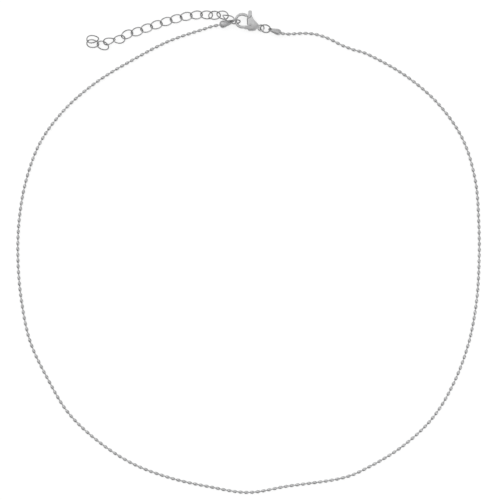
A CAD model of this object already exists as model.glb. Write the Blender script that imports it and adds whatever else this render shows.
"""Looks of the ball chain necklace: beads, wire links, cast clasp, floor, light and camera."""

import math
import random

import bmesh
import bpy
from mathutils import Matrix, Vector
from mathutils.bvhtree import BVHTree


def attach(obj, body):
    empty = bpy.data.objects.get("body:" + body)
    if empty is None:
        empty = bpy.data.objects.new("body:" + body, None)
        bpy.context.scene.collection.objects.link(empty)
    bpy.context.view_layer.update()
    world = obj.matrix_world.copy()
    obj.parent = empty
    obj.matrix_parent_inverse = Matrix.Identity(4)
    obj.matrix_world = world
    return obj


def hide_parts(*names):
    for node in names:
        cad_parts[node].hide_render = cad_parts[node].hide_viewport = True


MM = 0.001

# Stage, in metres
FLOOR_HALF = 1.5
FLOOR_GLOW = 0.73
FLOOR_TONE = 0.43
CAMERA_AT = (0.00049, 0.00058, 0.6)
CAMERA_FIELD = 0.1525
# Width of the camera's sensor in millimetres
CAMERA_SENSOR = 36
# The sky's brightness by the cosine of the angle to its brightest side, high on the +Y side
SKY_AXIS = (-0.1, 0.45, 0.89)
SKY = ((0.0, 0.2), (0.35, 0.27), (0.6, 0.58), (0.85, 0.86), (1.0, 0.91))
# Each softbox: name, place, side length and power
SOFTBOXES = (
    ("softbox_left", (-0.45, 0.45, 0.5), 0.5, 0.7),
    ("softbox_right", (0.55, -0.3, 0.4), 0.3, 0.8),
)

# Each steel: darkest and lightest tone, least and most roughness, depth of its uneven skin in
# millimetres, and strength of the dark film where two pieces all but touch
STEELS = {
    "chain_steel": ((0.51, 0.63), (0.3, 0.44), 0.016, 0),
    "wire_steel": ((0.35, 0.45), (0.22, 0.36), 0.01, 0.72),
    "cast_steel": ((0.54, 0.66), (0.26, 0.4), 0.045, 0.65),
    "cap_steel": ((0.49, 0.61), (0.42, 0.56), 0.05, 0.2),
}
# Scale and detail of the noise behind the patches of tone, the scratches and the uneven skin
PATCHES, SCRATCHES, SKIN = (900.0, 4.0), (5200.0, 3.0), (2100.0, 2.0)
SCRATCH_DEPTH = 0.004
FILM_TONE = (0.03, 0.03, 0.032, 1)
# Gap in millimetres up to which the film is full, and at which it ends
FILM_FULL, FILM_REACH = 0.14, 0.4

# Sizes in millimetres, the same as the solids'
REST = 0.02
BEAD_D = 1.05
BEAD_L = 1.33
LINK_L, LINK_W, LINK_WIRE, LINK_TWIST = 3.98, 2.75, 0.34, 0.33
RING_D, RING_WIRE = 3.4, 0.4
CAP_L, CAP_W, CAP_T = 3.4, 2.4, 1.85
CAP_BULB_HALF, CAP_BULB_OFF = 1.5, 0.9
TONGUE_W, TONGUE_T, TONGUE_HOLE_D = 1.35, 0.4, 0.86
STRAND_EXIT = 0.25
FALL = (0.6, 0.2)
CLASP_T = 2.2
RIVET_D = 0.56
CLASP_AT = Vector((0.55, 69.0, 0.0))
HOOK_X, HOOK_R = -2.36, 2.4
HOOK_OPEN_X, HOOK_OPEN_R = -2.48, 1.52
EYE_X = 3.29
# How the rings lie in the hook and the eye, and the caps on the rings
LINK_RING_IN, LINK_RING_UP = 1.33, 1.0
CLASP_RING_IN, CLASP_RING_DOWN = 0.14, 1.05
CAP_PLAY = 0.01
CAP_LEFT_IN, CAP_LEFT_DOWN = 0.02, 0.1

# Distance along the strand of some beads, by number: it lies taut in places and slack in others
BEADS = ((0, 1.6), (24, 43.3), (84, 148), (144, 253.2), (192, 337.7), (216, 379.7), (247, 433.5))
# Height of the beads over the floor, and how far a bead may lean from the strand's way
BEAD_FLOOR = 0.003
BEAD_LEAN = 0.035
BEAD_SEED = 7
BEAD_SIDES, BEAD_STEPS = 18, 12
# Each bead's bored ends: how far in a ring of points lies, and how much narrower than the hole
BEAD_HOLE_R = 0.25
BEAD_LIP = ((0.16, 0.05), (0.03, 0.035))
PIN_R, PIN_WAIST, PIN_SIDES = 0.2, 0.96, 10
PIN_IN_BEAD = 0.2
# Longest step between two points of the strand's middle line
STRAND_STEP = 0.25

# The solids' wires have corners; the round wires here reach out to those corners
ROUND_OUT = 0.03
# Steps round the wire's loop, sides of its section and half the width of its joint's groove
RING_STEPS, RING_SIDES, RING_GROOVE = 72, 14, 0.018
LINK_STEPS, LINK_SIDES, LINK_GROOVE = 64, 12, 0.02
# The wire's width in the groove, as a share
GROOVE_WIDTH = 0.86

# The cup itself: its widest place lies a little further back and its nose is blunter
CAP_WIDEST, CAP_NOSE = 1.0, 1.15
CAP_SIDES, CAP_STEPS = 32, 24
# Place of the last bead from the cup's rim, half the length and width of its pocket, and the mouth
LAST_BEAD_IN = 0.95
POCKET_HALF, POCKET_R = 0.76, 0.59
MOUTH_R = 0.33
DRILL_SIDES = 48

# Size of the cells from which worked pieces get their skin
VOXEL = 0.045
# Flat end of the hook's tip, and how much further out it starts
TIP_X, TIP_Y, TIP_REACH = -0.37, 71.2, 0.08
RIVET_SIDES = 32

ROUTE = [
    (11.2, 66.3), (13, 66.4), (17.4, 66.6), (20.9, 66.2), (24.7, 64.9), (28.2, 63.1), (32, 61.6),
    (36.8, 60), (47.6, 53.9), (57.6, 45.4), (65.2, 34.6), (69.1, 22.1), (70.2, 9.3), (70.3, -3.1),
    (69.5, -15.3), (67.2, -27.5), (62.8, -39.5), (56.3, -50.4), (47, -59.2), (36.2, -65.8),
    (27.7, -69.1), (11.9, -71.4), (-0.1, -73.3), (-12.2, -71.5), (-24, -68.8), (-35.5, -64.4),
    (-45.9, -57.6), (-54.9, -49), (-61.3, -38.4), (-66.5, -27.3), (-69.1, -15.2), (-70.2, -3.1),
    (-69.9, 9.2), (-67.8, 21.5), (-63.4, 33.4), (-55.8, 43.6), (-46.2, 51.8), (-35.6, 58.3),
    (-24.5, 64.1), (-12.9, 68.1), (-10.2, 68.9),
]

# A row for each extender link: step from the one before as shares of its length and width,
# height as a share of its width, heading, pitch and roll
LINK_ROWS = [
    (-0.52, 0.37, 0.62, -29, -4, -38),
    (-0.44, 0.4, 0.35, -20, -14, -6),
    (-0.63, -0.01, 0.08, 1, -12, 7),
    (-0.61, 0.05, 0, -3, 0, 0),
    (-0.78, -0.01, 0, 6, 0, 0),
    (-0.78, -0.16, 0, 9, 0, 0),
    (-0.77, -0.26, 0, 12, 0, 0),
    (-0.76, -0.31, 0, 15, 0, 0),
    (-0.75, -0.36, 0, 17, 0, 0),
    (-0.75, -0.37, 0, 17, 0, 0),
    (-0.74, -0.4, 0, 19, 0, 0),
    (-0.75, -0.29, 0, 25, -2, 3),
    (-0.59, -0.58, 0.14, 14, 19, -6),
    (-0.75, -0.18, 0.26, 15, 5, 49),
    (-0.51, -0.48, 0.07, -23, 1, 11),
    (-0.77, 0.19, 0.165, -7, 7, 22),
    (0, 0.49, 0.26, 3, 16, 31),
]


def sine(degrees):
    return math.sin(math.radians(degrees))


def cosine(degrees):
    return math.cos(math.radians(degrees))


def turned(turn, pitch, roll):
    """Rotation by roll about X, then pitch about Y, then turn about Z, in degrees."""
    z = Matrix.Rotation(math.radians(turn), 4, "Z")
    y = Matrix.Rotation(math.radians(pitch), 4, "Y")
    x = Matrix.Rotation(math.radians(roll), 4, "X")
    return z @ y @ x


def ring_height(tilt):
    """Height at which a tilted ring's middle lies when the ring rests on the floor."""
    return RING_R * sine(tilt) + RING_WIRE / 2 + REST


def cap_height(pitch, roll):
    """Height of the tongue's hole when the cap's bulb rests on the floor."""
    half = math.hypot(CAP_W * sine(roll), CAP_T * cosine(roll)) / 2
    low = math.hypot(CAP_BULB_HALF * sine(pitch), half * cosine(pitch))
    return REST + low + (CAP_L - CAP_BULB_OFF) * sine(pitch)


# Places in millimetres, and poses as turn, pitch and roll in degrees
RING_R = (RING_D - RING_WIRE) / 2
HOOK_LEFT = CLASP_AT.x + (HOOK_X + HOOK_OPEN_X - HOOK_R - HOOK_OPEN_R) / 2
LINK_RING_POSE = (4, 0, 74)
LINK_RING_AT = Vector(
    (
        HOOK_LEFT + LINK_RING_IN - RING_R,
        CLASP_AT.y + LINK_RING_UP,
        ring_height(LINK_RING_POSE[2]),
    )
)
CLASP_RING_POSE = (-14, 0, 47)
CLASP_RING_AT = Vector(
    (
        CLASP_AT.x + EYE_X + RING_R - CLASP_RING_IN,
        CLASP_AT.y - CLASP_RING_DOWN,
        max(CLASP_T / 2, ring_height(CLASP_RING_POSE[2])),
    )
)
CAP_RIGHT_POSE = (-16, 4, -58)
CAP_RIGHT_AT = Vector(
    (
        CLASP_RING_AT.x + (RING_R + CAP_PLAY) * cosine(CLASP_RING_POSE[0]),
        CLASP_RING_AT.y + (RING_R + CAP_PLAY) * sine(CLASP_RING_POSE[0]),
        cap_height(*CAP_RIGHT_POSE[1:]),
    )
)
CAP_LEFT_POSE = (195, 12, 12)
CAP_LEFT_AT = Vector(
    (
        LINK_RING_AT.x - RING_R + CAP_LEFT_IN,
        LINK_RING_AT.y - CAP_LEFT_DOWN,
        cap_height(*CAP_LEFT_POSE[1:]),
    )
)


def noise(nodes, links, vector, scale, detail):
    node = nodes.new("ShaderNodeTexNoise")
    node.inputs["Scale"].default_value = scale
    node.inputs["Detail"].default_value = detail
    links.new(vector, node.inputs["Vector"])
    return node


def bump(nodes, links, height, depth):
    """Bump node of a depth in millimetres."""
    node = nodes.new("ShaderNodeBump")
    node.inputs["Strength"].default_value = 1.0
    node.inputs["Distance"].default_value = depth * MM
    links.new(height, node.inputs["Height"])
    return node


def material(name, tone, rough, dent, film):
    """Bare steel: patches of tone, fine scratches, an uneven skin and a dark film."""
    m = bpy.data.materials.new(name)
    m.use_nodes = True
    nodes, links = m.node_tree.nodes, m.node_tree.links
    shader = next(n for n in nodes if n.type == "BSDF_PRINCIPLED")
    shader.inputs["Metallic"].default_value = 1.0
    where = nodes.new("ShaderNodeTexCoord").outputs["Object"]

    patches = noise(nodes, links, where, *PATCHES)
    colour = nodes.new("ShaderNodeValToRGB")
    low, high = colour.color_ramp.elements
    low.position, high.position = 0.3, 0.7
    dark, light = tone
    low.color = (dark, dark, dark * 1.01, 1)
    high.color = (light, light, light * 1.005, 1)
    links.new(patches.outputs["Fac"], colour.inputs["Fac"])

    near = nodes.new("ShaderNodeAttribute")
    near.attribute_name = "film"
    depth = nodes.new("ShaderNodeMath")
    depth.operation = "MULTIPLY"
    depth.use_clamp = True
    depth.inputs[1].default_value = film
    links.new(near.outputs["Fac"], depth.inputs[0])
    stained = nodes.new("ShaderNodeMix")
    stained.data_type = "RGBA"
    links.new(depth.outputs["Value"], stained.inputs["Factor"])
    links.new(colour.outputs["Color"], stained.inputs["A"])
    stained.inputs["B"].default_value = FILM_TONE
    links.new(stained.outputs["Result"], shader.inputs["Base Color"])

    stretch = nodes.new("ShaderNodeMapping")
    stretch.inputs["Rotation"].default_value = (0.4, 0.9, 0.6)
    stretch.inputs["Scale"].default_value = (1.0, 9.0, 3.0)
    links.new(where, stretch.inputs["Vector"])
    scratches = noise(nodes, links, stretch.outputs["Vector"], *SCRATCHES)
    scratches.inputs["Roughness"].default_value = 0.65
    gloss = nodes.new("ShaderNodeMapRange")
    gloss.inputs["From Min"].default_value = 0.3
    gloss.inputs["From Max"].default_value = 0.75
    gloss.inputs["To Min"].default_value = rough[0]
    gloss.inputs["To Max"].default_value = rough[1]
    links.new(scratches.outputs["Fac"], gloss.inputs["Value"])
    links.new(gloss.outputs["Result"], shader.inputs["Roughness"])

    skin = noise(nodes, links, where, *SKIN)
    uneven = bump(nodes, links, skin.outputs["Fac"], dent)
    scored = bump(nodes, links, scratches.outputs["Fac"], SCRATCH_DEPTH)
    links.new(uneven.outputs["Normal"], scored.inputs["Normal"])
    links.new(scored.outputs["Normal"], shader.inputs["Normal"])
    return m


def piece(name, verts, faces, slot):
    """A mesh in millimetres becomes a piece in metres that rides on the necklace."""
    mesh = bpy.data.meshes.new(name)
    mesh.from_pydata([Vector(v) * MM for v in verts], [], faces)
    mesh.update()
    return dress(name, mesh, slot)


def dress(name, mesh, slot, body="necklace"):
    """A mesh in metres becomes a smooth piece that rides on a body and wears its slot's steel."""
    mesh.polygons.foreach_set("use_smooth", [True] * len(mesh.polygons))
    mesh.materials.clear()
    mesh.materials.append(steels[slot])
    obj = bpy.data.objects.new(name, mesh)
    bpy.context.scene.collection.objects.link(obj)
    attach(obj, body)
    return obj


def around(sides):
    return [2 * math.pi * k / sides for k in range(sides)]


def band(i, j, sides):
    """Faces between ring i and ring j of a mesh made of rings of points."""
    near, far = i * sides, j * sides
    pairs = [(k, (k + 1) % sides) for k in range(sides)]
    return [(near + k, near + n, far + n, far + k) for k, n in pairs]


def spun(profile, sides):
    """Surface of revolution about X: profile is a list of (x, r)."""
    verts = [(x, r * math.cos(a), r * math.sin(a)) for x, r in profile for a in around(sides)]
    faces = [f for i in range(len(profile) - 1) for f in band(i, i + 1, sides)]
    return verts, faces


def section_frame(way):
    side = Vector((0, 0, 1)).cross(way).normalized()
    return side, way.cross(side).normalized()


def wire_loop(name, line, radii, sides, at, pose):
    """Round wire along a closed line, with its own radius at each point."""
    count = len(line)
    across = Vector((1, 0, 0))
    place = Matrix.Translation(at) @ turned(*pose)
    verts, faces = [], []
    for i, p in enumerate(line):
        way = (line[(i + 1) % count] - line[i - 1]).normalized()
        side, top = section_frame(way) if abs(way.z) < 0.95 else (across, way.cross(across))
        for a in around(sides):
            verts.append(place @ (p + radii[i] * (side * math.cos(a) + top * math.sin(a))))
        faces += band(i, (i + 1) % count, sides)
    return piece(name, verts, faces, "wire_steel")


def wire_angles(steps, joint, groove):
    """Angles round a closed wire, with three close ones across the joint where its ends butt."""
    near = [joint - groove, joint, joint + groove]

    def apart(a, b):
        return abs((a - b + math.pi) % (2 * math.pi) - math.pi)

    far = [a for a in around(steps) if all(apart(a, n) > 2.2 * groove for n in near)]
    return sorted([a % (2 * math.pi) for a in near] + far)


def wire_radii(wire, angles, joint, groove):
    """Half the wire's width at each angle, less in the groove at its joint."""
    half = (wire + ROUND_OUT) / 2
    return [half * (GROOVE_WIDTH if abs(a - joint) < groove / 2 else 1) for a in angles]


def curve_point(a, b, c, d, t):
    """Point between b and c on a smooth curve through four points."""
    bend = 2 * a - 5 * b + 4 * c - d
    return (2 * b + (c - a) * t + bend * t * t + (3 * b - a - 3 * c + d) * t**3) / 2


def cap_point(at, pose, distance):
    """Point in the middle of a cap, at a distance from its tongue's hole."""
    return at + turned(*pose).to_3x3() @ Vector((distance, 0, 0))


def strand_line():
    """The strand's middle line from mouth to mouth, as close points in millimetres."""
    rest = BEAD_D / 2 + BEAD_FLOOR
    inner, outer = CAP_L - LAST_BEAD_IN, CAP_L + STRAND_EXIT
    first = [cap_point(CAP_RIGHT_AT, CAP_RIGHT_POSE, d) for d in (inner, outer)]
    last = [cap_point(CAP_LEFT_AT, CAP_LEFT_POSE, d) for d in (outer, inner)]
    middle = []
    for i, (x, y) in enumerate(ROUTE):
        lift = FALL[i] * (first[1].z - rest) if i < len(FALL) else 0
        j = len(ROUTE) - 1 - i
        lift += FALL[j] * (last[0].z - rest) if j < len(FALL) else 0
        middle.append(Vector((x, y, rest + lift)))
    points = first + middle + last
    end = len(points) - 1
    line = []
    for i in range(end):
        a, b, c, d = points[max(i - 1, 0)], points[i], points[i + 1], points[min(i + 2, end)]
        steps = max(4, math.ceil((c - b).length / STRAND_STEP))
        for s in range(steps):
            p = curve_point(a, b, c, d, s / steps)
            p.z = max(p.z, rest)
            line.append(p)
    return line + [points[end]]


class Track:
    """Places along a line, by distance from its start."""

    def __init__(self, line):
        self.line = line
        self.sums = [0.0]
        for a, b in zip(line, line[1:]):
            self.sums.append(self.sums[-1] + (b - a).length)
        self.length = self.sums[-1]

    def at(self, distance):
        lo, hi = 0, len(self.sums) - 1
        while hi - lo > 1:
            mid = (lo + hi) // 2
            lo, hi = (mid, hi) if self.sums[mid] <= distance else (lo, mid)
        a, b = self.line[lo], self.line[hi]
        return a + (b - a) * (distance - self.sums[lo]) / max(self.sums[hi] - self.sums[lo], 1e-9)


def bead_profile():
    """Shell of an oval bead: both drilled ends turn in round the pin."""
    start = math.asin(BEAD_HOLE_R / (BEAD_D / 2))
    reach = BEAD_L / 2 / math.cos(start)
    angles = [start + (math.pi - 2 * start) * i / BEAD_STEPS for i in range(BEAD_STEPS + 1)]
    outer = [(-reach * math.cos(a), BEAD_D / 2 * math.sin(a)) for a in angles]
    lip = [(-BEAD_L / 2 + inward, BEAD_HOLE_R - narrower) for inward, narrower in BEAD_LIP]
    return lip + outer + [(-x, r) for x, r in reversed(lip)]


def ball_chain():
    """The strand's beads and the pins between them."""
    track = Track(strand_line())
    lean = random.Random(BEAD_SEED)
    stops = [BEADS[0][1]]
    for (i, start), (j, end) in zip(BEADS, BEADS[1:]):
        stops += [start + (end - start) * k / (j - i) for k in range(1, j - i + 1)]
    centres = [track.at(s) for s in [0, *stops, track.length]]
    gaps = len(centres) - 1
    bead_verts, bead_faces = spun(bead_profile(), BEAD_SIDES)
    waist = PIN_R * PIN_WAIST
    pin_verts, pin_faces = spun([(0, PIN_R), (0.5, waist), (1, PIN_R)], PIN_SIDES)
    hidden = BEAD_L / 2 - PIN_IN_BEAD
    verts, faces, pins, pin_all = [], [], [], []
    for i, centre in enumerate(centres):
        before, after = centres[max(i - 1, 0)], centres[min(i + 1, gaps)]
        way = (after - before).normalized()
        aside = lean.uniform(-BEAD_LEAN, BEAD_LEAN), lean.uniform(-BEAD_LEAN, BEAD_LEAN)
        way = (way + Vector((*aside, 0))).normalized()
        side, top = section_frame(way)
        base = len(verts)
        verts += [centre + way * x + side * y + top * z for x, y, z in bead_verts]
        faces += [tuple(base + k for k in f) for f in bead_faces]
        if i == gaps:
            continue
        run = after - centre
        way = run.normalized()
        side, top = section_frame(way)
        bare = run.length - 2 * hidden
        base = len(pins)
        pins += [centre + way * (hidden + x * bare) + side * y + top * z for x, y, z in pin_verts]
        pin_all += [tuple(base + k for k in f) for f in pin_faces]
    beads = piece("beads", verts, faces, "chain_steel")
    rods = piece("bead_pins", pins, pin_all, "chain_steel")
    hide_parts("ball_chain")
    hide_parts("ball_chain")


def jump_ring(name, at, pose, joint):
    """Ring of round wire, its ends butting at the angle of its joint in degrees."""
    joint = math.radians(joint)
    angles = wire_angles(RING_STEPS, joint, RING_GROOVE)
    line = [Vector((RING_R * math.cos(a), RING_R * math.sin(a), 0)) for a in angles]
    radii = wire_radii(RING_WIRE, angles, joint, RING_GROOVE)
    ring = wire_loop(name + "_wire", line, radii, RING_SIDES, at, pose)
    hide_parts(name)
    return ring


def extender():
    """The extender's links, each placed from the one before, with joints on alternate sides."""
    a, b = (LINK_L - LINK_WIRE) / 2, (LINK_W - LINK_WIRE) / 2
    rest = LINK_TWIST + LINK_WIRE / 2 + REST
    place = LINK_RING_AT.copy()
    made = []
    for i, (sx, sy, sz, turn, pitch, roll) in enumerate(LINK_ROWS):
        place = place + Vector((sx * LINK_L, sy * LINK_W, 0))
        at = Vector((place.x, place.y, rest + sz * LINK_W))
        joint = math.radians(90 if i % 2 else 270)
        angles = wire_angles(LINK_STEPS, joint, LINK_GROOVE)
        rises = [LINK_TWIST * math.sin(2 * t) for t in angles]
        line = [Vector((a * math.cos(t), b * math.sin(t), z)) for t, z in zip(angles, rises)]
        radii = wire_radii(LINK_WIRE, angles, joint, LINK_GROOVE)
        node = f"extender_link_{i + 1:02d}"
        link = wire_loop(node + "_wire", line, radii, LINK_SIDES, at, (turn, pitch, roll))
        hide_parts(node)
        made.append(link)
    return made


def worked(name, mesh, cutters, passes):
    """A mesh in millimetres is cut, turned into one even skin and its edges are worn round."""
    obj = bpy.data.objects.new(name, mesh)
    bpy.context.scene.collection.objects.link(obj)
    for i, cutter in enumerate(cutters):
        tool = bpy.data.objects.new(f"{name}_cut_{i}", cutter)
        bpy.context.scene.collection.objects.link(tool)
        cut = obj.modifiers.new("cut", "BOOLEAN")
        cut.operation = "DIFFERENCE"
        cut.solver = "EXACT"
        cut.object = tool
    skin = obj.modifiers.new("skin", "REMESH")
    skin.mode = "VOXEL"
    skin.voxel_size = VOXEL
    soft = obj.modifiers.new("soft", "SMOOTH")
    soft.factor = 0.5
    soft.iterations = passes
    bpy.context.view_layer.update()
    graph = bpy.context.evaluated_depsgraph_get()
    done = bpy.data.meshes.new_from_object(obj.evaluated_get(graph))
    for o in [obj] + [m.object for m in obj.modifiers if m.type == "BOOLEAN"]:
        bpy.data.objects.remove(o)
    return done


def solid(make):
    """A mesh made by a function that fills a bmesh."""
    b = bmesh.new()
    make(b)
    mesh = bpy.data.meshes.new("solid")
    b.to_mesh(mesh)
    b.free()
    return mesh


def end_cap(name, at, pose):
    """Pressed cup that holds the last bead, drawn out flat into a tongue with a hole."""

    def shell(b):
        for a in around(CAP_SIDES):
            for z in (-0.5, 0.5):
                rim = TONGUE_W / 2 * math.cos(a), TONGUE_W / 2 * math.sin(a)
                b.verts.new((*rim, z * TONGUE_T))
        for i in range(1, CAP_STEPS):
            u = math.pi * i / CAP_STEPS
            reach = CAP_NOSE if i < CAP_STEPS / 2 else CAP_BULB_HALF
            x = CAP_L - CAP_WIDEST + reach * math.cos(u)
            y, z = CAP_W / 2 * math.sin(u), CAP_T / 2 * math.sin(u)
            for a in around(CAP_SIDES):
                b.verts.new((x, y * math.cos(a), z * math.sin(a)))
        inside = bmesh.ops.convex_hull(b, input=b.verts)["geom_interior"]
        spare = [g for g in inside if isinstance(g, bmesh.types.BMVert)]
        bmesh.ops.delete(b, geom=spare, context="VERTS")

    def face_off(b):
        bmesh.ops.create_cube(b, size=4, matrix=Matrix.Translation((CAP_L + 2, 0, 0)))

    def pocket(b):
        size = Matrix.Diagonal((POCKET_HALF, POCKET_R, POCKET_R, 1))
        place = Matrix.Translation((CAP_L - LAST_BEAD_IN, 0, 0)) @ size
        bmesh.ops.create_uvsphere(b, u_segments=32, v_segments=24, radius=1, matrix=place)

    def drill(b, radius, depth, place):
        bmesh.ops.create_cone(
            b, cap_ends=True, segments=DRILL_SIDES, radius1=radius, radius2=radius, depth=depth,
            matrix=place,
        )

    def mouth(b):
        along = Matrix.Rotation(math.pi / 2, 4, "Y")
        drill(b, MOUTH_R, 2, Matrix.Translation((CAP_L, 0, 0)) @ along)

    def hole(b):
        drill(b, TONGUE_HOLE_D / 2, 3, Matrix())

    cutters = [solid(make) for make in (face_off, pocket, mouth, hole)]
    mesh = worked(name, solid(shell), cutters, 4)
    mesh.transform(Matrix.Scale(MM, 4) @ Matrix.Translation(at) @ turned(*pose))
    cap = dress(name + "_cup", mesh, "cap_steel")
    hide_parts(name)
    return cap


def cast(node, passes, body="necklace"):
    """A cast piece: a copy of the node's solid with its edges tumbled round."""
    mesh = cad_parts[node].data.copy()
    mesh.transform(Matrix.Scale(1 / MM, 4))
    # Tumbling wears the hook's tip back, so its flat end starts further out
    for v in mesh.vertices:
        if node == "clasp_body" and abs(v.co.x - TIP_X) < 0.02 and v.co.y > TIP_Y:
            v.co.x += TIP_REACH
    done = worked(node, mesh, [], passes)
    done.transform(Matrix.Scale(MM, 4))
    obj = dress(node + "_cast", done, "cast_steel", body)
    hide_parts(node)
    return obj


def rivet():
    """Pin with a low domed head, peened over a little wider than its shank."""
    r = RIVET_D / 2
    # Radius and height of each ring of points
    outline = [
        (0.0, 0.02), (0.18, 0.02), (0.24, 0.05), (r, 0.1), (r, 2.16), (0.27, 2.2), (0.22, 2.25),
        (0.12, 2.285), (0.0, 2.3),
    ]
    verts, faces = spun([(z, max(q, 0.001)) for q, z in outline], RIVET_SIDES)
    verts = [(y + CLASP_AT.x, z + CLASP_AT.y, x) for x, y, z in verts]
    obj = piece("clasp_rivet_pin", verts, faces, "cast_steel")
    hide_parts("clasp_rivet")


def add_film(pieces):
    """Where two pieces all but touch, a dull dark film gathers: each vertex keeps its strength."""
    reach = FILM_REACH * MM
    trees = []
    for obj in pieces:
        points = [v.co for v in obj.data.vertices]
        low = Vector([min(p[k] for p in points) for k in range(3)])
        high = Vector([max(p[k] for p in points) for k in range(3)])
        tree = BVHTree.FromPolygons(points, [p.vertices for p in obj.data.polygons])
        trees.append((tree, low, high))
    for i, obj in enumerate(pieces):
        low, high = trees[i][1:]
        close = [
            t for j, (t, a, b) in enumerate(trees)
            if j != i and all(a[k] < high[k] + reach and b[k] > low[k] - reach for k in range(3))
        ]
        values = []
        for v in obj.data.vertices:
            gap = FILM_REACH
            for tree in close:
                found = tree.find_nearest(v.co, reach)
                if found[3] is not None:
                    gap = min(gap, found[3] / MM)
            share = min(max((FILM_REACH - gap) / (FILM_REACH - FILM_FULL), 0), 1)
            values.append(share * share * (3 - 2 * share))
        obj.data.attributes.new("film", "FLOAT", "POINT").data.foreach_set("value", values)


def floor():
    mesh = bpy.data.meshes.new("floor")
    corners = [(-1, -1), (1, -1), (1, 1), (-1, 1)]
    mesh.from_pydata([(x * FLOOR_HALF, y * FLOOR_HALF, 0) for x, y in corners], [], [(0, 1, 2, 3)])
    obj = bpy.data.objects.new("floor", mesh)
    bpy.context.scene.collection.objects.link(obj)
    m = bpy.data.materials.new("pale_floor")
    m.use_nodes = True
    shader = next(n for n in m.node_tree.nodes if n.type == "BSDF_PRINCIPLED")
    shader.inputs["Base Color"].default_value = (FLOOR_TONE, FLOOR_TONE, FLOOR_TONE, 1)
    shader.inputs["Roughness"].default_value = 0.9
    shader.inputs["Specular IOR Level"].default_value = 0.1
    shader.inputs["Emission Color"].default_value = (1, 1, 1, 1)
    shader.inputs["Emission Strength"].default_value = FLOOR_GLOW
    mesh.materials.append(m)


def softbox(name, place, size, power):
    """Square area light that faces the middle of the stage."""
    data = bpy.data.lights.new(name, "AREA")
    data.shape = "SQUARE"
    data.size = size
    data.energy = power
    obj = bpy.data.objects.new(name, data)
    obj.location = place
    obj.rotation_euler = (-Vector(place)).to_track_quat("-Z", "Y").to_euler()
    bpy.context.scene.collection.objects.link(obj)


def sky():
    world = bpy.data.worlds.new("studio")
    world.use_nodes = True
    nodes, links = world.node_tree.nodes, world.node_tree.links
    background = next(n for n in nodes if n.type == "BACKGROUND")
    where = nodes.new("ShaderNodeTexCoord")
    axis = nodes.new("ShaderNodeVectorMath")
    axis.operation = "DOT_PRODUCT"
    axis.inputs[1].default_value = SKY_AXIS
    glow = nodes.new("ShaderNodeValToRGB")
    ramp = glow.color_ramp
    ramp.interpolation = "EASE"
    while len(ramp.elements) < len(SKY):
        ramp.elements.new(1)
    for element, (height, level) in zip(ramp.elements, SKY):
        element.position = height
        element.color = (level, level, level, 1)
    links.new(where.outputs["Generated"], axis.inputs[0])
    links.new(axis.outputs["Value"], glow.inputs["Fac"])
    links.new(glow.outputs["Color"], background.inputs["Color"])
    bpy.context.scene.world = world


def camera():
    data = bpy.data.cameras.new("camera")
    data.sensor_width = CAMERA_SENSOR
    data.lens = CAMERA_SENSOR * CAMERA_AT[2] / CAMERA_FIELD
    data.clip_start = 0.01
    data.clip_end = 10
    obj = bpy.data.objects.new("camera", data)
    obj.location = CAMERA_AT
    bpy.context.scene.collection.objects.link(obj)
    bpy.context.scene.camera = obj


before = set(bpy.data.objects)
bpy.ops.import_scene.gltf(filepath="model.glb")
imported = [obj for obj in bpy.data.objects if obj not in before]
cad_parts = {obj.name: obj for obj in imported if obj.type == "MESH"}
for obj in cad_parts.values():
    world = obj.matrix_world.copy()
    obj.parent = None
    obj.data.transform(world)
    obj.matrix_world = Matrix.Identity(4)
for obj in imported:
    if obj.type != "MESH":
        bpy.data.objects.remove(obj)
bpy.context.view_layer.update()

camera()
sky()
for box in SOFTBOXES:
    softbox(*box)
floor()
bpy.context.scene.view_settings.view_transform = "Standard"

steels = {name: material(name, *look) for name, look in STEELS.items()}
ball_chain()
add_film(
    [
        jump_ring("link_ring", LINK_RING_AT, LINK_RING_POSE, joint=250),
        jump_ring("clasp_ring", CLASP_RING_AT, CLASP_RING_POSE, joint=60),
        *extender(),
        end_cap("end_cap_right", CAP_RIGHT_AT, CAP_RIGHT_POSE),
        end_cap("end_cap_left", CAP_LEFT_AT, CAP_LEFT_POSE),
        cast("clasp_body", passes=8),
        cast("clasp_lever", passes=5, body="lever"),
    ]
)
rivet()
